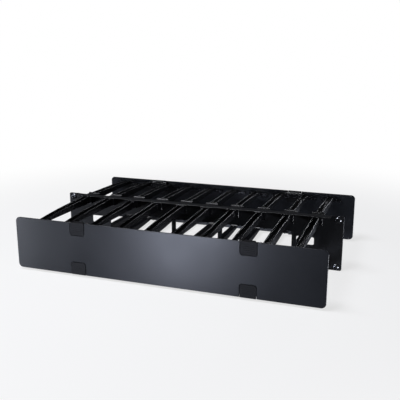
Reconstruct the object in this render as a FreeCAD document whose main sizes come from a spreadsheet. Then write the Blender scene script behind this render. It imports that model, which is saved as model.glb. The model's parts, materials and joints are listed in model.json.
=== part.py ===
"""Horizontal cable manager for a 19-inch rack: two rack units high, fingers and a hinged cover
on the front and on the back.

Millimetres. +X right, +Y to the back, +Z up. The origin is the centre of the mounting panel, on
the plane where the panel's ears meet the rack posts. One finger, one cover, one cover clip, one
hinge bracket and one screw are drawn, each in its front top place, and the others are links to
them, turned half a round about X, Y or Z, because the real ones come out of the same mould.
"""
import FreeCAD, Part
import math
import os
import re

import Sketcher

doc = FreeCAD.newDocument("HorizontalCableManager")

# ---- Driving dimensions -------------------------------------------------------------------

SIZES = {
    # rack standard
    "rack_width": 482.6,
    "rack_hole_span_x": 465.1,
    "rack_hole_span_z": 76.2,
    # mounting panel
    "panel_height": 88.1,
    "sheet": 1.6,
    "bend": 2.0,
    "flange_length": 444.0,
    "flange_reach": 14.0,
    "ear_corner": 3.0,
    "ear_hole": 8.3,
    "window_height": 27.0,
    "side_window_height": 12.6,
    "middle_window": 75.0,
    "wide_window_near": 45.0,
    "wide_window_far": 161.0,
    "side_window_near": 168.5,
    "side_window_far": 196.5,
    # fingers
    "finger_pitch": 44.45,
    "finger_width": 11.0,
    "finger_wall": 1.7,
    "finger_root_top": 43.8,
    "finger_root_low": 31.5,
    "finger_tip_low": 33.0,
    "finger_bend_reach": 75.0,
    "finger_bend_top": 42.1,
    "finger_crown_radius": 1060.0,
    "finger_nose_reach": 148.0,
    "finger_nose_top": 37.8,
    "finger_nose_low": 35.4,
    "finger_reach": 157.5,
    "channel_start": 18.0,
    "channel_end": 151.5,
    "tee_width": 36.0,
    "tee_depth": 4.0,
    "tee_top": 32.8,
    "tee_low": 28.5,
    "root_width": 20.0,
    "root_lip": 1.4,
    "root_low": 31.0,
    "peg_offset": 5.0,
    "peg_width": 3.0,
    "peg_height": 4.0,
    "peg_middle": 37.0,
    "peg_length": 7.0,
    "peg_play": 0.2,
    # hinge line and hinge brackets
    "hinge_reach": 154.0,
    "hinge_height": 37.5,
    "pin_radius": 2.0,
    "pin_length": 30.8,
    "cheek_radius": 3.8,
    "cheek_bevel": 2.2,
    "cheek_inside": 14.2,
    "cheek_thickness": 2.2,
    "bracket_wall": 1.8,
    "bracket_reach": 149.2,
    "bracket_top": 38.0,
    "bracket_low": 30.0,
    # covers
    "cover_height": 82.0,
    "cover_sheet": 1.2,
    "cover_reach": 160.5,
    "cover_corner": 7.0,
    "hem_height": 4.5,
    "hem_sheet": 1.0,
    "notch_width": 25.0,
    "notch_height": 20.0,
    "notch_corner": 2.2,
    # cover clips
    "clip_gap": 0.7,
    "clip_play": 0.1,
    "clip_proud": 0.3,
    "clip_flange_lap": 1.5,
    "clip_flange": 1.3,
    "hook_radius": 3.6,
    "hook_slot": 4.6,
    "hook_mouth": 2.2,
    "hook_width": 16.0,
    "hook_corner": 1.0,
    "rib_count": 5.0,
    "rib_pitch": 2.8,
    "rib_height": 0.9,
    "rib_proud": 0.3,
    "rib_width": 19.0,
    # rack screws
    "screw_radius": 2.95,
    "screw_reach": 12.4,
    "head_radius": 5.0,
    "head_crown": 3.2,
    "head_height": 3.1,
}

sheet = doc.addObject("Spreadsheet::Sheet", "Sizes")
for row, (alias, value) in enumerate(SIZES.items(), start=1):
    sheet.set(f"A{row}", alias.replace("_", " "))
    sheet.set(f"B{row}", str(value))
    sheet.setAlias(f"B{row}", alias)
doc.recompute()

ALIAS = re.compile(r"\b(" + "|".join(sorted(SIZES, key=len, reverse=True)) + r")\b")


def from_sheet(expression):
    """The expression with each dimension's name pointed at its cell of the sheet."""
    return ALIAS.sub(r"Sizes.\1", expression)


def value_of(expression):
    """What an expression on the sheet comes to now."""
    return float(sheet.evalExpression(from_sheet(expression)))


# Places that several pieces share.
HALF_HEIGHT = "panel_height / 2"
CLIP_X = "finger_pitch * 3"
COVER_BACK = "(cover_reach - cover_sheet)"


# ---- Drawing helpers ----------------------------------------------------------------------

def new_sketch(body, name, role, offset="0"):
    """An empty sketch on one of the body's own planes, moved out along the plane's normal."""
    sketch = body.newObject("Sketcher::SketchObject", name)
    plane = next(feature for feature in body.Origin.OriginFeatures if feature.Role == role)
    sketch.AttachmentSupport = [(plane, "")]
    sketch.MapMode = "FlatFace"
    if offset != "0":
        sketch.setExpression("AttachmentOffset.Base.z", from_sheet(offset))
    return sketch


def tie(sketch, geometry, point, x_size, y_size):
    """Hold one point of a sketch at a place given by two expressions on the sheet."""
    for kind, size in (("DistanceX", x_size), ("DistanceY", y_size)):
        held = Sketcher.Constraint(kind, -1, 1, geometry, point, value_of(size))
        index = sketch.addConstraint(held)
        sketch.setExpression(f"Constraints[{index}]", from_sheet(size))


def arc_between(start, end, radius):
    """The short arc between two points, bulging to the left of the way for a positive radius.

    A sketch counts the ends of an arc anticlockwise, so the second value says which end is start.
    """
    chord = end - start
    across = FreeCAD.Vector(-chord.y, chord.x, 0).normalize()
    to_centre = (radius ** 2 - (chord.Length / 2) ** 2) ** 0.5
    centre = start + chord * 0.5 - across * (to_centre if radius > 0 else -to_centre)
    first, last = (end, start) if radius > 0 else (start, end)
    angles = [math.atan2(point.y - centre.y, point.x - centre.x) for point in (first, last)]
    if angles[1] < angles[0]:
        angles[1] += 2 * math.pi
    circle = Part.Circle(centre, FreeCAD.Vector(0, 0, 1), abs(radius))
    return Part.ArcOfCircle(circle, *angles), 2 if radius > 0 else 1


def add_loop(sketch, corners):
    """A closed outline. A corner is (x, y), or (x, y, radius) where an arc leaves it.

    The arc bulges to the left of the way round for "+name" and to the right for "-name".
    """
    points = [FreeCAD.Vector(value_of(corner[0]), value_of(corner[1]), 0) for corner in corners]
    first = sketch.GeometryCount
    starts = []
    for number, corner in enumerate(corners):
        start, end = points[number], points[(number + 1) % len(points)]
        if len(corner) == 2:
            starts.append(1)
            sketch.addGeometry(Part.LineSegment(start, end), False)
            continue
        arc, start_point = arc_between(start, end, value_of(corner[2]))
        sketch.addGeometry(arc, False)
        starts.append(start_point)
    for number, corner in enumerate(corners):
        geometry = first + number
        after = first + (number + 1) % len(corners)
        after_start = starts[(number + 1) % len(corners)]
        sketch.addConstraint(
            Sketcher.Constraint("Coincident", geometry, 3 - starts[number], after, after_start))
        tie(sketch, geometry, starts[number], corner[0], corner[1])
        if len(corner) == 3:
            size = corner[2].lstrip("+-")
            index = sketch.addConstraint(Sketcher.Constraint("Radius", geometry, value_of(size)))
            sketch.setExpression(f"Constraints[{index}]", from_sheet(size))


def add_box(sketch, left, right, low, high):
    """A rectangle between four expressions."""
    add_loop(sketch, [(left, low), (right, low), (right, high), (left, high)])


def add_circle(sketch, x_size, y_size, radius):
    """A circle whose centre and radius come from the sheet."""
    centre = FreeCAD.Vector(value_of(x_size), value_of(y_size), 0)
    normal = FreeCAD.Vector(0, 0, 1)
    geometry = sketch.addGeometry(Part.Circle(centre, normal, value_of(radius)), False)
    index = sketch.addConstraint(Sketcher.Constraint("Radius", geometry, value_of(radius)))
    sketch.setExpression(f"Constraints[{index}]", from_sheet(radius))
    tie(sketch, geometry, 3, x_size, y_size)


def extrude(body, kind, name, sketch, length, midplane=False, backwards=False):
    """A Pad or a Pocket of a sketch, its length taken from the sheet.

    A Pocket has to change the volume of the body, or the drawing is wrong.
    """
    before = 0 if body.Shape.isNull() else body.Shape.Volume
    feature = body.newObject(f"PartDesign::{kind}", name)
    feature.Profile = sketch
    feature.Midplane = midplane
    feature.Reversed = backwards
    feature.setExpression("Length", from_sheet(length))
    doc.recompute()
    if abs(feature.Shape.Volume - before) < 1e-3:
        raise RuntimeError(f"{name} changes nothing")
    return feature


def dress_edges(body, kind, name, size, wanted):
    """A Fillet or a Chamfer along every edge of the body that the test picks out."""
    base = body.Tip
    names = [f"Edge{number}" for number, edge in enumerate(base.Shape.Edges, start=1)
             if wanted(edge)]
    dressing = body.newObject(f"PartDesign::{kind}", name)
    dressing.Base = (base, names)
    dressing.setExpression("Radius" if kind == "Fillet" else "Size", from_sheet(size))
    doc.recompute()
    return dressing


def runs_along(edge, axis):
    """True for a straight edge along "x", "y" or "z"."""
    if not isinstance(edge.Curve, Part.Line):
        return False
    return abs(getattr(edge.Curve.Direction, axis)) > 0.999


def is_near(value, target):
    """True within a hundredth of a millimetre."""
    return abs(value - target) < 0.01


# ---- Mounting panel -----------------------------------------------------------------------

def build_panel():
    """Folded steel sheet: flanges along the top and bottom, five windows, ears for the posts."""
    body = doc.addObject("PartDesign::Body", "MountingPanel")
    section = new_sketch(body, "PanelSection", "YZ_Plane")
    flange_inside = "(panel_height / 2 - sheet)"
    add_loop(section, [
        ("0", "panel_height / -2"), ("0", HALF_HEIGHT),
        ("-flange_reach", HALF_HEIGHT), ("-flange_reach", flange_inside),
        ("-sheet", flange_inside), ("-sheet", f"-{flange_inside}"),
        ("-flange_reach", f"-{flange_inside}"), ("-flange_reach", "panel_height / -2")])
    extrude(body, "Pad", "FoldedSheet", section, "flange_length", midplane=True)
    half = value_of(HALF_HEIGHT)
    dress_edges(body, "Fillet", "Bends", "bend", lambda edge: runs_along(edge, "x")
                and is_near(edge.CenterOfMass.y, 0) and is_near(abs(edge.CenterOfMass.z), half))

    ears = new_sketch(body, "EarOutline", "XZ_Plane")
    ear_start = "(flange_length / 2 - bend)"
    add_box(ears, ear_start, "rack_width / 2", "panel_height / -2", HALF_HEIGHT)
    add_box(ears, "rack_width / -2", f"-{ear_start}", "panel_height / -2", HALF_HEIGHT)
    extrude(body, "Pad", "Ears", ears, "sheet")
    ear_end = value_of("rack_width / 2")
    dress_edges(body, "Fillet", "EarCorners", "ear_corner", lambda edge: runs_along(edge, "y")
                and is_near(abs(edge.CenterOfMass.x), ear_end))

    windows = new_sketch(body, "WindowOutline", "XZ_Plane")
    add_box(windows, "middle_window / -2", "middle_window / 2",
            "window_height / -2", "window_height / 2")
    for near, far, height in (("wide_window_near", "wide_window_far", "window_height"),
                              ("side_window_near", "side_window_far", "side_window_height")):
        add_box(windows, near, far, f"{height} / -2", f"{height} / 2")
        add_box(windows, f"-{far}", f"-{near}", f"{height} / -2", f"{height} / 2")
    extrude(body, "Pocket", "Windows", windows, "sheet * 3", midplane=True)

    slots = new_sketch(body, "PegSlotOutline", "XZ_Plane")
    first_finger = "finger_pitch * -4.5"
    slot_side = "(peg_offset + peg_width / 2 + peg_play)"
    slot_low = "(peg_middle - peg_height / 2 - peg_play)"
    slot_high = "(peg_middle + peg_height / 2 + peg_play)"
    left, right = f"{first_finger} - {slot_side}", f"{first_finger} + {slot_side}"
    add_box(slots, left, right, slot_low, slot_high)
    add_box(slots, left, right, f"-{slot_high}", f"-{slot_low}")
    pocket = extrude(body, "Pocket", "PegSlots", slots, "sheet * 3", midplane=True)
    row = body.newObject("PartDesign::LinearPattern", "PegSlotRow")
    row.Originals = [pocket]
    row.Direction = (slots, ["H_Axis"])
    row.Occurrences = 10
    row.setExpression("Length", from_sheet("finger_pitch * 9"))
    body.Tip = row
    doc.recompute()

    holes = new_sketch(body, "EarHoleOutline", "XZ_Plane")
    for x_size in ("rack_hole_span_x / 2", "rack_hole_span_x / -2"):
        for z_size in ("rack_hole_span_z / 2", "rack_hole_span_z / -2"):
            add_circle(holes, x_size, z_size, "ear_hole / 2")
    extrude(body, "Pocket", "EarHoles", holes, "sheet * 3", midplane=True)
    return body


# ---- Finger -------------------------------------------------------------------------------

def build_finger():
    """One moulded finger: a root block, a channel that droops to its nose, and a tee at its tip.

    A peg and a socket, one each side of the middle, let the front and the back finger of a pair
    lock into each other through the panel.
    """
    body = doc.addObject("PartDesign::Body", "Finger")
    side = new_sketch(body, "FingerSide", "YZ_Plane")
    add_loop(side, [
        ("-flange_reach", "finger_root_low"),
        ("-finger_reach + tee_depth * 2", "finger_tip_low"),
        ("-finger_reach + tee_depth", "tee_low"),
        ("-finger_reach", "tee_low"),
        ("-finger_reach", "tee_top"),
        ("-finger_reach + tee_depth", "finger_nose_low"),
        ("-finger_nose_reach", "finger_nose_top", "+finger_crown_radius"),
        ("-finger_bend_reach", "finger_bend_top"),
        ("-flange_reach", "finger_root_top")])
    extrude(body, "Pad", "Blade", side, "finger_width", midplane=True)

    channel = new_sketch(body, "ChannelSide", "YZ_Plane")
    add_loop(channel, [
        ("-channel_start", "finger_root_low + finger_wall"),
        ("-channel_end", "finger_tip_low + finger_wall"),
        ("-channel_end", "finger_root_top + finger_wall"),
        ("-channel_start", "finger_root_top + finger_wall")])
    extrude(body, "Pocket", "Channel", channel, "finger_width - finger_wall * 2", midplane=True)

    root = new_sketch(body, "RootSide", "YZ_Plane")
    under_flange = "panel_height / 2 - sheet"
    lip_face = "-flange_reach - root_lip"
    add_loop(root, [
        ("-sheet", "root_low"), ("-sheet", under_flange), ("-flange_reach", under_flange),
        ("-flange_reach", HALF_HEIGHT), (lip_face, HALF_HEIGHT), (lip_face, "root_low")])
    extrude(body, "Pad", "Root", root, "root_width", midplane=True)

    tee = new_sketch(body, "TeeOutline", "XY_Plane", "tee_low")
    add_box(tee, "tee_width / -2", "tee_width / 2", "-finger_reach", "-finger_reach + tee_depth")
    extrude(body, "Pad", "Tee", tee, "tee_top - tee_low")

    peg_low, peg_high = "peg_middle - peg_height / 2", "peg_middle + peg_height / 2"
    peg = new_sketch(body, "PegOutline", "XZ_Plane", "sheet")
    add_box(peg, "peg_offset - peg_width / 2", "peg_offset + peg_width / 2", peg_low, peg_high)
    extrude(body, "Pad", "Peg", peg, "peg_length", backwards=True)
    socket = new_sketch(body, "SocketOutline", "XZ_Plane", "sheet")
    add_box(socket, "-peg_offset - peg_width / 2 - peg_play", "-peg_offset + peg_width / 2 + peg_play",
            f"{peg_low} - peg_play", f"{peg_high} + peg_play")
    extrude(body, "Pocket", "Socket", socket, "peg_length - sheet + peg_play", backwards=True)
    return body


# ---- Hinge bracket ------------------------------------------------------------------------

def build_bracket():
    """Moulded bracket between two finger tips: a wall, two cheeks and the pin for a clip."""
    body = doc.addObject("PartDesign::Body", "HingeBracket")
    cheeks = new_sketch(body, "CheekSide", "YZ_Plane")
    add_loop(cheeks, [
        ("-hinge_reach - cheek_radius", "tee_top"),
        ("-bracket_reach", "tee_top"),
        ("-bracket_reach", "bracket_top"),
        ("-hinge_reach - cheek_radius + cheek_bevel", "hinge_height + cheek_radius"),
        ("-hinge_reach - cheek_radius", "hinge_height + cheek_radius - cheek_bevel")])
    extrude(body, "Pad", "Cheeks", cheeks, "(cheek_inside + cheek_thickness) * 2", midplane=True)
    between = new_sketch(body, "BetweenCheeks", "XZ_Plane", "hinge_reach")
    add_box(between, "-cheek_inside", "cheek_inside", "bracket_low", "hinge_height + cheek_radius * 2")
    extrude(body, "Pocket", "CheekGap", between, "cheek_radius * 6", midplane=True)

    wall = new_sketch(body, "WallOutline", "XZ_Plane", "bracket_reach - bracket_wall")
    wall_side = "(finger_pitch / 2 - finger_width / 2)"
    add_box(wall, f"-{wall_side}", wall_side, "bracket_low", "bracket_top")
    extrude(body, "Pad", "Wall", wall, "bracket_wall")

    pin = new_sketch(body, "PinCircle", "YZ_Plane")
    add_circle(pin, "-hinge_reach", "hinge_height", "pin_radius")
    extrude(body, "Pad", "Pin", pin, "pin_length", midplane=True)
    return body


# ---- Cover --------------------------------------------------------------------------------

def build_cover():
    """Sheet cover with round corners, hemmed long edges and a notch for each of four clips."""
    body = doc.addObject("PartDesign::Body", "Cover")
    face = new_sketch(body, "CoverOutline", "XZ_Plane", COVER_BACK)
    add_box(face, "rack_width / -2", "rack_width / 2", "cover_height / -2", "cover_height / 2")
    extrude(body, "Pad", "CoverSheet", face, "cover_sheet")
    side = value_of("rack_width / 2")
    dress_edges(body, "Fillet", "CoverCorners", "cover_corner", lambda edge: runs_along(edge, "y")
                and is_near(abs(edge.CenterOfMass.x), side))

    hem = new_sketch(body, "HemOutline", "XZ_Plane", f"{COVER_BACK} - hem_sheet")
    hem_end = "(rack_width / 2 - cover_corner)"
    edge_height, hem_low = "(cover_height / 2)", "(cover_height / 2 - hem_height)"
    add_box(hem, f"-{hem_end}", hem_end, hem_low, edge_height)
    add_box(hem, f"-{hem_end}", hem_end, f"-{edge_height}", f"-{hem_low}")
    extrude(body, "Pad", "Hems", hem, "hem_sheet")

    notch = new_sketch(body, "NotchOutline", "XZ_Plane", COVER_BACK)
    inner, outer = "(cover_height / 2 - notch_height)", "(cover_height / 2 + hem_height)"
    for middle in (CLIP_X, f"-{CLIP_X}"):
        left, right = f"{middle} - notch_width / 2", f"{middle} + notch_width / 2"
        add_box(notch, left, right, inner, outer)
        add_box(notch, left, right, f"-{outer}", f"-{inner}")
    extrude(body, "Pocket", "Notches", notch, "cover_reach / 2", midplane=True)
    notch_end = value_of(inner)
    dress_edges(body, "Chamfer", "NotchCorners", "notch_corner", lambda edge: runs_along(edge, "y")
                and is_near(abs(edge.CenterOfMass.z), notch_end))
    return body


# ---- Cover clip ---------------------------------------------------------------------------

def build_clip():
    """Moulded clip in a cover's notch: a ribbed pad, a flange behind the sheet and a hook."""
    body = doc.addObject("PartDesign::Body", "CoverClip")
    pad_back = f"({COVER_BACK} - hem_sheet)"
    edge_height = "cover_height / 2"
    pad_low = "(cover_height / 2 - notch_height + clip_gap)"
    pad_side = "(notch_width / 2 - clip_gap)"
    pad = new_sketch(body, "PadOutline", "XZ_Plane", pad_back)
    add_box(pad, f"-{pad_side}", pad_side, pad_low, edge_height)
    extrude(body, "Pad", "ThumbPad", pad, f"cover_reach + clip_proud - {pad_back}")
    low = value_of(pad_low)
    dress_edges(body, "Chamfer", "PadCorners", "notch_corner", lambda edge: runs_along(edge, "y")
                and is_near(edge.CenterOfMass.z, low))

    flange = new_sketch(body, "FlangeOutline", "XZ_Plane", f"{COVER_BACK} - clip_flange")
    flange_side = "(notch_width / 2 + clip_flange_lap)"
    add_box(flange, f"-{flange_side}", flange_side, "cover_height / 2 - notch_height - clip_flange_lap",
            "cover_height / 2 - hem_height - clip_play * 2")
    extrude(body, "Pad", "Flange", flange, "clip_flange")

    hook = new_sketch(body, "HookSide", "YZ_Plane")
    hook_end = "-hinge_reach + hook_mouth"
    hook_low, hook_high = "hinge_height - hook_radius", "hinge_height + hook_radius"
    add_box(hook, f"-{pad_back} - clip_play", hook_end, hook_low, hook_high)
    extrude(body, "Pad", "Hook", hook, "hook_width", midplane=True)
    hook_tip = value_of(hook_end)
    dress_edges(body, "Chamfer", "HookCorners", "hook_corner", lambda edge: runs_along(edge, "x")
                and is_near(edge.CenterOfMass.y, hook_tip))
    seat = new_sketch(body, "PinSeat", "YZ_Plane")
    add_circle(seat, "-hinge_reach", "hinge_height", "hook_slot / 2")
    extrude(body, "Pocket", "Seat", seat, "notch_width * 2", midplane=True)
    mouth = new_sketch(body, "HookMouth", "YZ_Plane")
    add_box(mouth, "-hinge_reach", "-hinge_reach + hook_mouth * 2",
            "hinge_height - hook_slot / 2", "hinge_height + hook_slot / 2")
    extrude(body, "Pocket", "Mouth", mouth, "notch_width * 2", midplane=True)

    rib = new_sketch(body, "RibOutline", "XZ_Plane", "cover_reach + clip_proud")
    first = "(cover_height / 2 - notch_height / 2 - rib_pitch * (rib_count - 1) / 2)"
    add_box(rib, "rib_width / -2", "rib_width / 2", f"{first} - rib_height / 2",
            f"{first} + rib_height / 2")
    first_rib = extrude(body, "Pad", "Rib", rib, "rib_proud")
    ribs = body.newObject("PartDesign::LinearPattern", "Ribs")
    ribs.Originals = [first_rib]
    ribs.Direction = (rib, ["V_Axis"])
    ribs.setExpression("Occurrences", from_sheet("rib_count"))
    ribs.setExpression("Length", from_sheet("rib_pitch * (rib_count - 1)"))
    body.Tip = ribs
    return body


# ---- Rack screw ---------------------------------------------------------------------------

def build_screw():
    """Rack screw: a head with a tapered crown, and a plain shank."""
    body = doc.addObject("PartDesign::Body", "RackScrew")
    half = new_sketch(body, "ScrewHalf", "XY_Plane")
    add_loop(half, [
        ("0", "-sheet - head_height"), ("head_crown", "-sheet - head_height"),
        ("head_radius", "-sheet"),
        ("screw_radius", "-sheet"), ("screw_radius", "screw_reach"), ("0", "screw_reach")])
    turned = body.newObject("PartDesign::Revolution", "Turned")
    turned.Profile = half
    turned.ReferenceAxis = (half, ["V_Axis"])
    turned.Angle = 360
    doc.recompute()
    return body


# ---- Pieces in place ----------------------------------------------------------------------

# Half turns that carry the front top piece to its three other places. The back row is turned
# about the middle of the panel's sheet, so its base lies one sheet thickness to the front.
X_AXIS, Y_AXIS, Z_AXIS = FreeCAD.Vector(1, 0, 0), FreeCAD.Vector(0, 1, 0), FreeCAD.Vector(0, 0, 1)
PLACES = {
    "front_top": FreeCAD.Rotation(Z_AXIS, 0),
    "front_bottom": FreeCAD.Rotation(Y_AXIS, 180),
    "rear_top": FreeCAD.Rotation(Z_AXIS, 180),
    "rear_bottom": FreeCAD.Rotation(X_AXIS, 180),
}


def place_copy(master, label, rotation, x_size="0", y_size="0", z_size="0"):
    """A link to a master piece, with its own name and its place taken from the sheet."""
    link = doc.addObject("App::Link", label)
    link.LinkedObject = master
    link.Label = label
    link.Placement = FreeCAD.Placement(FreeCAD.Vector(), rotation)
    for axis, size in (("x", x_size), ("y", y_size), ("z", z_size)):
        if size != "0":
            link.setExpression(f"Placement.Base.{axis}", from_sheet(size))
    return link


def row_shift(place):
    """The Y shift of a place's row."""
    return "-sheet" if place.startswith("rear") else "0"


panel = build_panel()
panel.Label = "mounting_panel"
finger, bracket, cover, clip, screw = (
    build_finger(), build_bracket(), build_cover(), build_clip(), build_screw())
doc.recompute()

pieces = [panel]
for place, rotation in PLACES.items():
    for number in range(10):
        pieces.append(place_copy(finger, f"finger_{place}_{number + 1:02d}", rotation,
                                 f"finger_pitch * {number - 4.5}", row_shift(place)))
    for end, middle in (("left", f"-{CLIP_X}"), ("right", CLIP_X)):
        pieces.append(place_copy(bracket, f"hinge_bracket_{place}_{end}", rotation,
                                 middle, row_shift(place)))
        pieces.append(place_copy(clip, f"cover_clip_{place}_{end}", rotation,
                                 middle, row_shift(place)))
for row in ("front", "rear"):
    pieces.append(place_copy(cover, f"{row}_cover", PLACES[f"{row}_top"], "0", row_shift(row)))

screws = []
for x_size in ("rack_hole_span_x / 2", "rack_hole_span_x / -2"):
    for z_size in ("rack_hole_span_z / 2", "rack_hole_span_z / -2"):
        screws.append(place_copy(screw, f"Screw{len(screws) + 1}", PLACES["front_top"],
                                 x_size, "0", z_size))
screw_set = doc.addObject("Part::Compound", "RackScrews")
screw_set.Links = screws
screw_set.Label = "rack_screws"
pieces.append(screw_set)
doc.recompute()

# ---- Tests and export ---------------------------------------------------------------------

for item in doc.Objects:
    if {"Invalid", "Error"} & set(item.State):
        raise RuntimeError(f"{item.Label} did not build: {item.State}")
shapes = {}
for piece in pieces:
    shape = Part.getShape(piece)
    if shape.isNull() or not shape.isValid() or not shape.Solids:
        raise RuntimeError(f"{piece.Label} is not a valid solid")
    shapes[piece.Label] = shape

os.makedirs("parts", exist_ok=True)
for label, shape in shapes.items():
    shape.exportStep(f"parts/{label}.step")
print(f"{len(shapes)} nodes, {sum(len(shape.Solids) for shape in shapes.values())} solids")
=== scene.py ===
"""Finishes and fine pieces of a horizontal cable manager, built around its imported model.

Metres. The frame is the model's own: +X right, +Y to the back, +Z up, with the origin at the
centre of the mounting panel, on the plane of the rack posts.
"""
import json
import logging
import math
from collections.abc import Callable, Sequence
from dataclasses import dataclass, field
from enum import Enum

import bmesh
import bpy
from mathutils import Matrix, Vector


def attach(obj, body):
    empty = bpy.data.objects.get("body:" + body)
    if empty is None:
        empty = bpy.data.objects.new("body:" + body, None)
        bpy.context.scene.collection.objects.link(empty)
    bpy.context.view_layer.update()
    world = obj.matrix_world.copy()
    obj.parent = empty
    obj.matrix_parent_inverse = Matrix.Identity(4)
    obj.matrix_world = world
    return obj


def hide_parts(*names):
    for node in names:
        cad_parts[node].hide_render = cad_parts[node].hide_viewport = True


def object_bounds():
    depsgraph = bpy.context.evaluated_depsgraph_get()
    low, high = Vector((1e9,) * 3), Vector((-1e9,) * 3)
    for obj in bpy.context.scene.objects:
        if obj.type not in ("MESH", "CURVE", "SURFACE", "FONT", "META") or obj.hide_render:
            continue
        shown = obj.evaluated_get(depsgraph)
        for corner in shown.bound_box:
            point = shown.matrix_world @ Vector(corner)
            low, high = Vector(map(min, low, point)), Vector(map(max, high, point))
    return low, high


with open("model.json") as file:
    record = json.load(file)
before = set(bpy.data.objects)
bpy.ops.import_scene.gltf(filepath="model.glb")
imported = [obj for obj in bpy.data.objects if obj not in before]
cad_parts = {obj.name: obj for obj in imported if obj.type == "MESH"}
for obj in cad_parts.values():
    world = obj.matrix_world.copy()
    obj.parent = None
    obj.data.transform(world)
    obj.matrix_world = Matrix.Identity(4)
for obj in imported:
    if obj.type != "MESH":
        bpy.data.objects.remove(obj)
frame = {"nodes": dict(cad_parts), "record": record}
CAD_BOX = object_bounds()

log = logging.getLogger("cable_manager")
MM = 0.001
# Faces that turn by less than FLAT are one face. Corners that turn by more than SHARP are
# rounded, and ones past CREASE are shaded as creases.
FLAT = math.radians(1)
SHARP = math.radians(28)
CREASE = math.radians(40)
# Points closer than MERGE, in metres, are one point, and an edge shorter than SPECK_MM is dropped.
MERGE = 1e-6
SPECK_MM = 0.06
# How far a point may lie from where a size puts it and still count as there, and how much of
# an edge's length must lie along an axis for it to count as parallel.
NEAR_MM = 0.01
PARALLEL = 0.999


# ---- Colour and node helpers --------------------------------------------------------------

def linear(hex_colour: str) -> tuple[float, float, float, float]:
    """Turn an sRGB hex colour into the linear values that a shader takes.

    Args:
        hex_colour: six hex digits after a hash sign.

    Returns:
        Red, green, blue and an alpha of 1.
    """
    parts = [int(hex_colour[place:place + 2], 16) / 255 for place in (1, 3, 5)]
    channels = [part / 12.92 if part <= 0.04045 else ((part + 0.055) / 1.055) ** 2.4
                for part in parts]
    return (*channels, 1.0)


def add_node(tree: bpy.types.NodeTree, kind: str, values: dict | None = None,
             links: dict | None = None, **settings: object) -> bpy.types.Node:
    """Add one node to a tree, with its settings, input values and incoming links.

    Args:
        tree: the node tree that takes the node.
        kind: the node's type, such as "ShaderNodeTexNoise".
        values: input socket name to the constant set on it.
        links: input socket name to the output socket linked to it.
        settings: attributes of the node itself.

    Returns:
        The new node.
    """
    node = tree.nodes.new(kind)
    for name, setting in settings.items():
        setattr(node, name, setting)
    for name, value in (values or {}).items():
        node.inputs[name].default_value = value
    for name, socket in (links or {}).items():
        tree.links.new(socket, node.inputs[name])
    return node


# ---- Finishes -----------------------------------------------------------------------------

class Grain(Enum):
    """How a finish's surface is textured: the node that draws it, and its own values."""

    ORANGE_PEEL = ("ShaderNodeTexNoise", {"Detail": 1.0, "Roughness": 0.4})
    SPARK_ERODED = ("ShaderNodeTexVoronoi", {"Randomness": 1.0})
    FLOW = ("ShaderNodeTexNoise", {"Detail": 3.0, "Roughness": 0.55})


@dataclass(frozen=True)
class Finish:
    """A surface finish: its colours and gloss, and the texture that its maker left on it."""

    name: str
    colour: str
    tint: str
    roughness: float
    roughness_swing: float
    grain: Grain
    grain_mm: float
    grain_depth_mm: float
    speck_colour: str
    speck_share: float
    speck_mm: float = 3.0
    speck_range: tuple[float, float] = (0.62, 0.72)
    blotch_mm: float = 40.0
    blotch_range: tuple[float, float] = (0.3, 0.7)
    bump: float = 0.35
    metallic: float = 0.0
    shine: float = 0.5

    def material(self) -> bpy.types.Material:
        """Build the finish as a node material.

        Returns:
            The material, its patterns on Object coordinates.
        """
        material = bpy.data.materials.new(self.name)
        material.use_nodes = True
        tree = material.node_tree
        tree.nodes.clear()
        place = add_node(tree, "ShaderNodeTexCoord").outputs["Object"]
        blotch = add_node(tree, "ShaderNodeTexNoise",
                          {"Scale": 1 / (self.blotch_mm * MM), "Detail": 3.0, "Roughness": 0.55},
                          {"Vector": place})
        speck = add_node(tree, "ShaderNodeTexNoise",
                         {"Scale": 1 / (self.speck_mm * MM), "Detail": 2.0, "Roughness": 0.7},
                         {"Vector": place})
        kind, values = self.grain.value
        grain = add_node(tree, kind, {"Scale": 1 / (self.grain_mm * MM), **values},
                         {"Vector": place})
        tone = add_node(tree, "ShaderNodeMix", links={"Factor": blotch.outputs["Fac"]},
                        data_type="RGBA")
        tone.inputs["A"].default_value = linear(self.colour)
        tone.inputs["B"].default_value = linear(self.tint)
        dust = add_node(tree, "ShaderNodeMapRange",
                        {"From Min": self.speck_range[0], "From Max": self.speck_range[1],
                         "To Min": 0.0, "To Max": self.speck_share},
                        {"Value": speck.outputs["Fac"]})
        specked = add_node(tree, "ShaderNodeMix", links={"Factor": dust.outputs["Result"]},
                           data_type="RGBA")
        tree.links.new(tone.outputs["Result"], specked.inputs["A"])
        specked.inputs["B"].default_value = linear(self.speck_colour)
        gloss = add_node(tree, "ShaderNodeMapRange",
                         {"From Min": self.blotch_range[0], "From Max": self.blotch_range[1],
                          "To Min": self.roughness - self.roughness_swing,
                          "To Max": self.roughness + self.roughness_swing},
                         {"Value": blotch.outputs["Fac"]})
        bump = add_node(tree, "ShaderNodeBump",
                        {"Strength": self.bump, "Distance": self.grain_depth_mm * MM},
                        {"Height": grain.outputs[0]})
        shader = add_node(tree, "ShaderNodeBsdfPrincipled",
                          {"Metallic": self.metallic, "Specular IOR Level": self.shine},
                          {"Base Color": specked.outputs["Result"],
                           "Roughness": gloss.outputs["Result"],
                           "Normal": bump.outputs["Normal"]})
        add_node(tree, "ShaderNodeOutputMaterial", links={"Surface": shader.outputs["BSDF"]})
        return material


# Polyester powder, sprayed and baked on steel: a fine orange peel that breaks up its low gloss.
POWDER_COAT = Finish("black_powder_coat", "#0d0e11", "#111215", 0.43, 0.04, Grain.ORANGE_PEEL,
                     grain_mm=1.2, grain_depth_mm=0.05, speck_colour="#1a1b1f", speck_share=0.5)
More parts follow.
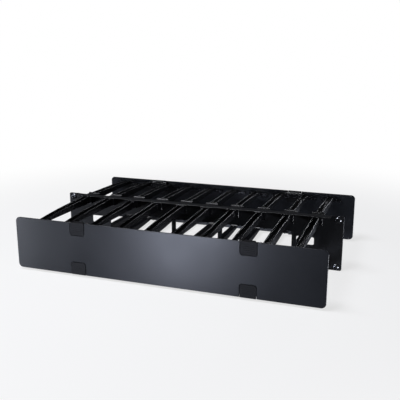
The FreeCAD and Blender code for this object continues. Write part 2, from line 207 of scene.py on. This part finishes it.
# Satin enamel sprayed on the folded covers: dark grey with a little blue, a wide soft sheen,
# and a faint orange peel that shows only where a lamp glances off it.
SATIN_ENAMEL = Finish("satin_grey_enamel", "#16181c", "#1a1c20", 0.31, 0.02, Grain.ORANGE_PEEL,
                      grain_mm=0.9, grain_depth_mm=0.008, blotch_mm=60.0,
                      speck_mm=1.5, speck_colour="#34363c", speck_share=0.25)
# ABS moulded against a polished tool: near black, with a small sharp highlight on each edge and
# the faint streaks of the melt's flow.
GLOSS_ABS = Finish("gloss_black_abs", "#09090b", "#0e0e11", 0.24, 0.03, Grain.FLOW,
                   grain_mm=6.0, grain_depth_mm=0.004, blotch_mm=15.0,
                   speck_mm=0.8, speck_colour="#1a1a1e", speck_share=0.2, shine=0.65)
# ABS moulded against a spark-eroded tool: dull and finely pitted, so the clips read apart from
# the cover.
MATT_ABS = Finish("matt_black_abs", "#08080a", "#0c0c0f", 0.55, 0.04, Grain.SPARK_ERODED,
                  grain_mm=0.5, grain_depth_mm=0.03, blotch_mm=8.0,
                  speck_mm=0.6, speck_colour="#18191d", speck_share=0.5, shine=0.36)
# Bright zinc plate on turned steel: silver, clouded by the bath and marked by the cutter.
ZINC = Finish("bright_zinc_plate", "#7c7e83", "#95979c", 0.24, 0.05, Grain.FLOW,
              grain_mm=0.4, grain_depth_mm=0.01, metallic=1.0, blotch_mm=2.5,
              speck_mm=0.5, speck_colour="#8f9197", speck_share=0.6)


class Finishes(Enum):
    """The finish of each material slot of the record."""

    PANEL = ("panel_paint", POWDER_COAT)
    COVER = ("cover_paint", SATIN_ENAMEL)
    FINGER = ("finger_plastic", GLOSS_ABS)
    CLIP = ("clip_plastic", MATT_ABS)
    SCREW = ("screw_steel", ZINC)

    def __init__(self, slot: str, finish: Finish) -> None:
        """Give the two halves of a choice their names."""
        self.slot = slot
        self.finish = finish


# ---- Workshop -----------------------------------------------------------------------------

@dataclass(frozen=True)
class Rounding:
    """One round of edge softening: how wide, in how many faces, and on which edges.

    A round that is held back is kept from running into its neighbours, all of it by the same
    share. An inward one takes inner corners in place of outer ones.
    """

    width_mm: float
    segments: int
    wanted: Callable[[bmesh.types.BMEdge], bool] = lambda edge: True
    held_back: bool = True
    inward: bool = False


@dataclass
class Workshop:
    """Turns bmeshes into finished pieces, with one material for each finish."""

    materials: dict[Finishes, bpy.types.Material] = field(default_factory=dict)

    def material(self, choice: Finishes) -> bpy.types.Material:
        """The one material of a finish, made the first time that it is asked for.

        Args:
            choice: the finish.

        Returns:
            Its material.
        """
        if choice not in self.materials:
            self.materials[choice] = choice.finish.material()
        return self.materials[choice]

    def finish_piece(self, name: str, mesh: bmesh.types.BMesh, choice: Finishes,
                     node: str) -> bpy.types.Object:
        """Turn a bmesh into a piece that stands for a node of the frame.

        Args:
            name: the piece's name.
            mesh: its shape, in place. It is freed.
            choice: its finish.
            node: the node that it stands for and rides with.

        Returns:
            The new object.
        """
        data = bpy.data.meshes.new(name)
        mesh.to_mesh(data)
        mesh.free()
        data.shade_smooth()
        data.set_sharp_from_angle(angle=CREASE)
        piece = bpy.data.objects.new(name, data)
        bpy.context.scene.collection.objects.link(piece)
        data.materials.append(self.material(choice))
        # Flat faces stay flat beside their rounded edges.
        weighted = piece.modifiers.new("weighted_normals", "WEIGHTED_NORMAL")
        weighted.keep_sharp = True
        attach(piece, body_of(node))
        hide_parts(node)
        log.info("%s: %d faces", name, len(data.polygons))
        return piece


def body_of(node: str) -> str:
    """The body that a node belongs to."""
    return next(body for body, nodes in frame["record"]["behaviour"]["bodies"].items()
                if node in nodes)


def runs_along(edge: bmesh.types.BMEdge, axis: int) -> bool:
    """True for an edge along X (0), Y (1) or Z (2)."""
    way = edge.verts[1].co - edge.verts[0].co
    return abs(way[axis]) > PARALLEL * way.length


def middle_of(edge: bmesh.types.BMEdge) -> Vector:
    """The middle of an edge, in millimetres."""
    return (edge.verts[0].co + edge.verts[1].co) / (2 * MM)


def softened(node: str, rounds: Sequence[Rounding]) -> bmesh.types.BMesh:
    """A copy of a node's solid with its outward edges rounded, as its making leaves them.

    Args:
        node: the node's name.
        rounds: the rounds of softening, in order. An edge is softened once.

    Returns:
        The bmesh, in the node's place.
    """
    mesh = bmesh.new()
    mesh.from_mesh(frame["nodes"][node].data)
    bmesh.ops.remove_doubles(mesh, verts=mesh.verts, dist=MERGE)
    bmesh.ops.dissolve_limit(mesh, angle_limit=FLAT, verts=mesh.verts, edges=mesh.edges)
    bmesh.ops.dissolve_degenerate(mesh, dist=SPECK_MM * MM, edges=mesh.edges)
    done = mesh.faces.layers.int.new("softened")
    for turn in rounds:
        sharp = [edge for edge in mesh.edges
                 if edge.is_manifold and edge.is_convex != turn.inward
                 and edge.calc_face_angle(0) > SHARP
                 and not all(face[done] for face in edge.link_faces) and turn.wanted(edge)]
        made = bmesh.ops.bevel(mesh, geom=sharp, offset=turn.width_mm * MM,
                               offset_type="OFFSET", segments=turn.segments, profile=0.5,
                               affect="EDGES", clamp_overlap=turn.held_back, material=-1)
        for face in made["faces"]:
            face[done] = 1
        # A collapsed edge would hold the next round back to nothing, so specks go first.
        bmesh.ops.dissolve_degenerate(mesh, dist=SPECK_MM / 2 * MM, edges=mesh.edges)
    return mesh


# ---- Sub-assemblies -----------------------------------------------------------------------

@dataclass
class FingerRows:
    """The moulded fingers and the hinge brackets between their tips, on both rows."""

    workshop: Workshop
    root_half_mm: float = 10.0
    root_reach_mm: float = 14.0
    root_corner_mm: float = 1.8
    blade_half_mm: float = 5.5
    least_rail_mm: float = 1.5
    rail_low_mm: float = 35.0
    rail_edge_mm: float = 0.55
    lip_edge_mm: float = 0.7
    lip_top_mm: float = 44.0
    lip_reach_mm: float = 15.0
    edge_mm: float = 0.35

    def build(self) -> None:
        """Soften every finger and every bracket."""
        for node in sorted(frame["nodes"]):
            if node.startswith("finger_"):
                self.workshop.finish_piece(f"moulded_{node}", self.finger(node),
                                           Finishes.FINGER, node)
            if node.startswith("hinge_bracket_"):
                mesh = softened(node, [Rounding(self.edge_mm, 2)])
                self.workshop.finish_piece(f"moulded_{node}", mesh, Finishes.FINGER, node)

    def finger(self, node: str) -> bmesh.types.BMesh:
        """One finger: wide round corners on its root, full round rails, crisp other edges.

        Args:
            node: the finger's node.

        Returns:
            The softened finger.
        """
        corners = frame["nodes"][node].bound_box
        middle = sum(corner[0] for corner in corners) / (len(corners) * MM)

        def on_root_corner(edge: bmesh.types.BMEdge) -> bool:
            """True for an upright corner of the root block."""
            place = middle_of(edge)
            return (runs_along(edge, 2) and abs(place.y) > self.root_reach_mm
                    and abs(abs(place.x - middle) - self.root_half_mm) < NEAR_MM)

        def on_rail(edge: bmesh.types.BMEdge) -> bool:
            """Find the long rims of the channel.

            Args:
                edge: an edge of the finger.

            Returns:
                True for a rim.
            """
            place = middle_of(edge)
            way = edge.verts[1].co - edge.verts[0].co
            lengthwise = abs(way.x) < MERGE and abs(way.y) > self.least_rail_mm * MM
            return (lengthwise and abs(place.z) > self.rail_low_mm
                    and abs(place.x - middle) < self.blade_half_mm + NEAR_MM)

        def on_lip(edge: bmesh.types.BMEdge) -> bool:
            """True for the outer top edge of the root's lip."""
            place = middle_of(edge)
            return (runs_along(edge, 0) and abs(place.z) > self.lip_top_mm
                    and abs(place.y) > self.lip_reach_mm)

        return softened(node, [Rounding(self.lip_edge_mm, 3, on_lip, held_back=False),
                               Rounding(self.root_corner_mm, 4, on_root_corner),
                               Rounding(self.rail_edge_mm, 3, on_rail),
                               Rounding(self.edge_mm, 2)])


@dataclass
class Panel:
    """The folded steel panel with its windows."""

    workshop: Workshop
    window_corner_mm: float = 2.0
    window_top_mm: float = 13.6
    edge_mm: float = 0.3
    least_edge_mm: float = 3.0

    def build(self) -> None:
        """Round the windows' corners and the sheared edges, and coat the panel."""
        corners = Rounding(self.window_corner_mm, 4, lambda edge: runs_along(edge, 1)
                           and abs(middle_of(edge).z) < self.window_top_mm, inward=True)
        # The short edges round a corner or a hole stay as they are.
        least = self.least_edge_mm * MM
        sheared = Rounding(self.edge_mm, 2, lambda edge: edge.calc_length() > least,
                           held_back=False)
        mesh = softened("mounting_panel", [corners, sheared])
        self.workshop.finish_piece("coated_panel", mesh, Finishes.PANEL, "mounting_panel")


@dataclass
class Covers:
    """The two hinged covers with their clips."""

    workshop: Workshop
    pad_corner_mm: float = 1.2
    pad_corner_turn: float = math.radians(60)
    pad_edge_mm: float = 0.35
    rim_mm: float = 0.5

    def build(self) -> None:
        """Soften and paint the covers, and soften the clips."""
        corners = Rounding(self.pad_corner_mm, 3, lambda edge: runs_along(edge, 1)
                           and edge.calc_face_angle(0) < self.pad_corner_turn)
        for node in sorted(frame["nodes"]):
            if node.endswith("_cover"):
                mesh = softened(node, [Rounding(self.rim_mm, 3)])
                self.workshop.finish_piece(f"enamelled_{node}", mesh, Finishes.COVER, node)
            if node.startswith("cover_clip_"):
                mesh = softened(node, [corners, Rounding(self.pad_edge_mm, 2)])
                self.workshop.finish_piece(f"moulded_{node}", mesh, Finishes.CLIP, node)


@dataclass
class RackScrews:
    """Four M6 rack screws: a domed head with a hexagon socket, and a rolled thread."""

    workshop: Workshop
    span_mm: tuple[float, float] = (465.1, 76.2)
    seat_mm: float = -1.6
    head_radius_mm: float = 5.0
    head_height_mm: float = 3.1
    head_edge_mm: float = 2.4
    dome_steps: int = 6
    socket_radius_mm: float = 2.5
    socket_sides: int = 6
    socket_depth_mm: float = 2.3
    thread_radius_mm: float = 2.95
    core_radius_mm: float = 2.5
    pitch_mm: float = 1.0
    thread_start_mm: float = -0.6
    ridge_sunk_mm: float = 0.05
    ridge_shares: tuple[float, ...] = (0.04, 0.45, 0.55, 0.96)
    end_mm: float = 12.4
    steps: int = 24

    def build(self) -> None:
        """Make one screw, and a copy in each ear hole."""
        whole = bmesh.new()
        for x_side in (-0.5, 0.5):
            for z_side in (-0.5, 0.5):
                place = Vector((x_side * self.span_mm[0], 0, z_side * self.span_mm[1])) * MM
                for part in (self.head(), self.thread()):
                    bmesh.ops.translate(part, verts=part.verts, vec=place)
                    data = bpy.data.meshes.new("screw_part")
                    part.to_mesh(data)
                    part.free()
                    whole.from_mesh(data)
                    bpy.data.meshes.remove(data)
        self.workshop.finish_piece("plated_rack_screws", whole, Finishes.SCREW, "rack_screws")

    def head(self) -> bmesh.types.BMesh:
        """The head and the core of the shank, turned from one profile, with its socket cut.

        Returns:
            The bmesh, its axis along Y through the origin.
        """
        mesh = bmesh.new()
        top = self.seat_mm - self.head_height_mm
        bottom = top + self.socket_depth_mm
        profile = [(0.0, bottom), (self.socket_radius_mm, bottom), (self.socket_radius_mm, top),
                   (self.head_radius_mm, top), (self.head_radius_mm, self.seat_mm),
                   (self.core_radius_mm, self.seat_mm), (self.core_radius_mm, self.end_mm),
                   (0.0, self.end_mm)]
        points = [mesh.verts.new((radius * MM, along * MM, 0)) for radius, along in profile]
        for start, end in zip(points, points[1:]):
            mesh.edges.new((start, end))
        rim = points[profile.index((self.head_radius_mm, top))]
        bmesh.ops.bevel(mesh, geom=[rim], offset=self.head_edge_mm * MM, offset_type="OFFSET",
                        segments=self.dome_steps, profile=0.5, affect="VERTICES", material=-1)
        bmesh.ops.spin(mesh, geom=mesh.verts[:] + mesh.edges[:], axis=(0, 1, 0), cent=(0, 0, 0),
                       steps=self.steps * 2, angle=math.tau, use_merge=True)
        bmesh.ops.remove_doubles(mesh, verts=mesh.verts, dist=MERGE)
        # The round socket is drawn in to a hexagon.
        side = math.tau / self.socket_sides
        for vert in mesh.verts:
            reach = math.hypot(vert.co.x, vert.co.z) / MM
            on_wall = abs(reach - self.socket_radius_mm) < NEAR_MM
            if on_wall and vert.co.y < (bottom + NEAR_MM) * MM:
                off_middle = math.atan2(vert.co.z, vert.co.x) % side - side / 2
                pull = math.cos(side / 2) / math.cos(off_middle)
                vert.co.x, vert.co.z = vert.co.x * pull, vert.co.z * pull
        bmesh.ops.recalc_face_normals(mesh, faces=mesh.faces)
        return mesh

    def thread(self) -> bmesh.types.BMesh:
        """The thread's ridge, wound round the core.

        Returns:
            The bmesh, its axis along Y through the origin.
        """
        mesh = bmesh.new()
        inner, outer = self.core_radius_mm - self.ridge_sunk_mm, self.thread_radius_mm
        points = []
        for radius, share in zip((inner, outer, outer, inner), self.ridge_shares):
            along = self.thread_start_mm + share * self.pitch_mm
            points.append(mesh.verts.new((radius * MM, along * MM, 0)))
        for first, second in zip(points, points[1:] + points[:1]):
            mesh.edges.new((first, second))
        turns = int((self.end_mm - self.thread_start_mm) / self.pitch_mm) - 1
        bmesh.ops.spin(mesh, geom=mesh.verts[:] + mesh.edges[:], axis=(0, 1, 0), cent=(0, 0, 0),
                       steps=self.steps * turns, angle=math.tau * turns,
                       dvec=(0, self.pitch_mm * MM / self.steps, 0))
        bmesh.ops.remove_doubles(mesh, verts=mesh.verts, dist=MERGE)
        bmesh.ops.holes_fill(mesh, edges=[edge for edge in mesh.edges if edge.is_boundary],
                             sides=len(points))
        bmesh.ops.recalc_face_normals(mesh, faces=mesh.faces)
        return mesh


# ---- Stage --------------------------------------------------------------------------------

@dataclass(frozen=True)
class Lamp:
    """A soft lamp: its place, what it points at, its width and height, its power and colour."""

    name: str
    place: tuple[float, float, float]
    target: tuple[float, float, float]
    size: tuple[float, float]
    power: float
    colour: str

    def build(self) -> None:
        """Hang the lamp."""
        data = bpy.data.lights.new(self.name, "AREA")
        data.shape = "RECTANGLE"
        data.size, data.size_y = self.size
        data.energy = self.power
        data.color = linear(self.colour)[:3]
        lamp = bpy.data.objects.new(self.name, data)
        lamp.location = self.place
        way = Vector(self.target) - Vector(self.place)
        lamp.rotation_euler = way.to_track_quat("-Z", "Y").to_euler()
        bpy.context.scene.collection.objects.link(lamp)


LAMPS = (
    # A tall strip, low at the front left: the soft upright band of light on the front cover.
    Lamp("front_strip", (-0.3, -1.06, -0.2), (0.03, -0.16, 0.0), (0.14, 0.31), 3.0, "#e2e9ff"),
    # A weaker one further left, for the cover's left end.
    Lamp("left_strip", (-1.02, -0.98, -0.28), (-0.23, -0.16, 0.0), (0.14, 0.42), 2.4, "#e6ecfb"),
    # And one at the back right, for the rear cover.
    Lamp("rear_strip", (1.0, 0.95, -0.3), (0.1, 0.16, 0.0), (0.3, 0.4), 4.0, "#e6ecfb"),
    # Above and a little to the front: edges that run along the rack, and the shadow.
    Lamp("overhead", (-0.4, -0.45, 1.25), (0.0, 0.0, 0.0), (0.9, 0.3), 17.0, "#f3f5fb"),
    # Low on the right: the upright corners of the finger roots.
    Lamp("right_side", (1.3, -0.35, -0.36), (0.0, 0.0, 0.03), (0.65, 0.3), 17.0, "#f1f3fb"),
    # Level at the back right: the rails of the fingers.
    Lamp("back", (0.62, 1.25, 0.24), (0.0, 0.0, 0.03), (0.25, 0.2), 1.9, "#f1f3fb"),
)


@dataclass
class Studio:
    """A white ground that keeps a shadow, soft lamps, and the camera, in metres.

    The floor turns white to the camera between the reaches white_near and white_far.
    """

    camera_place: tuple[float, float, float] = (0.3384, -0.9276, 0.2995)
    camera_yaw_deg: float = 19.73
    camera_pitch_deg: float = 14.18
    lens_mm: float = 55.19
    sensor_mm: float = 36.0
    clip_start: float = 0.02
    floor_half: float = 6.0
    floor_depth: float = 0.001
    floor_gap: float = 0.0002
    white_near: float = 0.35
    white_far: float = 0.95
    least_white: float = 0.7
    fill: float = 0.05
    side_flag: tuple[Sequence[float], Sequence[float]] = ((-0.601, -0.475, -0.32),
                                                          (-0.599, -0.26, -0.046))
    level_flag: tuple[Sequence[float], Sequence[float]] = ((-0.16, -0.155, -0.0465),
                                                           (0.06, 0.03, -0.0455))

    def build(self) -> None:
        """Set the whole stage."""
        self.add_floor()
        self.add_flags()
        self.add_world()
        for lamp in LAMPS:
            lamp.build()
        self.add_camera()
        bpy.context.scene.view_settings.view_transform = "Standard"

    def add_card(self, name: str, low: Sequence[float], high: Sequence[float],
                 material: bpy.types.Material) -> bpy.types.Object:
        """Put a card on the stage.

        Args:
            name: the card's name.
            low: its corner with the least X, Y and Z.
            high: its corner with the greatest.
            material: what covers it.

        Returns:
            The card.
        """
        start, end = Vector(low), Vector(high)
        mesh = bmesh.new()
        bmesh.ops.create_cube(mesh, size=1.0)
        bmesh.ops.scale(mesh, verts=mesh.verts, vec=end - start)
        bmesh.ops.translate(mesh, verts=mesh.verts, vec=(start + end) / 2)
        data = bpy.data.meshes.new(name)
        mesh.to_mesh(data)
        mesh.free()
        data.materials.append(material)
        card = bpy.data.objects.new(name, data)
        bpy.context.scene.collection.objects.link(card)
        return card

    def add_floor(self) -> None:
        """A pale floor, unseen by shiny plastic and by the low lamps, which shine through it."""
        top = CAD_BOX[0][2] - self.floor_gap
        half = self.floor_half
        floor = self.add_card("floor", (-half, -half, top - self.floor_depth), (half, half, top),
                              self.ground())
        floor.visible_shadow = False
        floor.visible_glossy = False

    def add_flags(self) -> None:
        """Black cards under the floor, which keep the low front lamps off the inner faces."""
        black = bpy.data.materials.new("black_card")
        black.use_nodes = True
        black.node_tree.nodes.clear()
        card = add_node(black.node_tree, "ShaderNodeBsdfDiffuse", {"Color": linear("#08080a")})
        add_node(black.node_tree, "ShaderNodeOutputMaterial",
                 links={"Surface": card.outputs["BSDF"]})
        for name, (low, high) in (("side_flag", self.side_flag),
                                  ("level_flag", self.level_flag)):
            self.add_card(name, low, high, black).visible_camera = False

    def ground(self) -> bpy.types.Material:
        """Pale matt card that takes the object's shadow, and white to the camera further out.

        Returns:
            The material.
        """
        material = bpy.data.materials.new("white_card")
        material.use_nodes = True
        tree = material.node_tree
        tree.nodes.clear()
        place = add_node(tree, "ShaderNodeTexCoord").outputs["Object"]
        reach = add_node(tree, "ShaderNodeVectorMath", links={"Vector": place},
                         operation="LENGTH")
        share = add_node(tree, "ShaderNodeMapRange",
                         {"From Min": self.white_near, "From Max": self.white_far,
                          "To Min": self.least_white, "To Max": 1.0},
                         {"Value": reach.outputs["Value"]}, interpolation_type="SMOOTHSTEP")
        rays = add_node(tree, "ShaderNodeLightPath")
        seen = add_node(tree, "ShaderNodeMath", operation="MULTIPLY")
        tree.links.new(share.outputs["Result"], seen.inputs[0])
        tree.links.new(rays.outputs["Is Camera Ray"], seen.inputs[1])
        card = add_node(tree, "ShaderNodeBsdfDiffuse", {"Color": linear("#f4f4f5")})
        white = add_node(tree, "ShaderNodeEmission", {"Color": (1, 1, 1, 1), "Strength": 1.0})
        mixed = add_node(tree, "ShaderNodeMixShader", links={"Fac": seen.outputs["Value"]})
        tree.links.new(card.outputs["BSDF"], mixed.inputs[1])
        tree.links.new(white.outputs["Emission"], mixed.inputs[2])
        add_node(tree, "ShaderNodeOutputMaterial", links={"Surface": mixed.outputs["Shader"]})
        return material

    def add_world(self) -> None:
        """A dim even fill, white where the camera looks past the floor."""
        world = bpy.data.worlds.new("studio")
        bpy.context.scene.world = world
        world.use_nodes = True
        tree = world.node_tree
        tree.nodes.clear()
        rays = add_node(tree, "ShaderNodeLightPath")
        fill = add_node(tree, "ShaderNodeBackground",
                        {"Color": linear("#f2f4fb"), "Strength": self.fill})
        white = add_node(tree, "ShaderNodeBackground", {"Color": (1, 1, 1, 1), "Strength": 1.0})
        mixed = add_node(tree, "ShaderNodeMixShader", links={"Fac": rays.outputs["Is Camera Ray"]})
        tree.links.new(fill.outputs["Background"], mixed.inputs[1])
        tree.links.new(white.outputs["Background"], mixed.inputs[2])
        add_node(tree, "ShaderNodeOutputWorld", links={"Surface": mixed.outputs["Shader"]})

    def add_camera(self) -> None:
        """Stand the camera above and to the right of the front cover."""
        data = bpy.data.cameras.new("camera")
        data.lens = self.lens_mm
        data.sensor_width = self.sensor_mm
        data.clip_start = self.clip_start
        camera = bpy.data.objects.new("camera", data)
        camera.location = self.camera_place
        camera.rotation_euler = (math.radians(90 - self.camera_pitch_deg), 0,
                                 math.radians(self.camera_yaw_deg))
        bpy.context.scene.collection.objects.link(camera)
        bpy.context.scene.camera = camera


def main() -> None:
    """Build every sub-assembly in order, then the stage."""
    logging.basicConfig(level=logging.INFO, format="%(name)s %(message)s")
    workshop = Workshop()
    for assembly in (Panel(workshop), FingerRows(workshop), Covers(workshop),
                     RackScrews(workshop)):
        assembly.build()
    Studio().build()


if __name__ == "__main__":
    main()
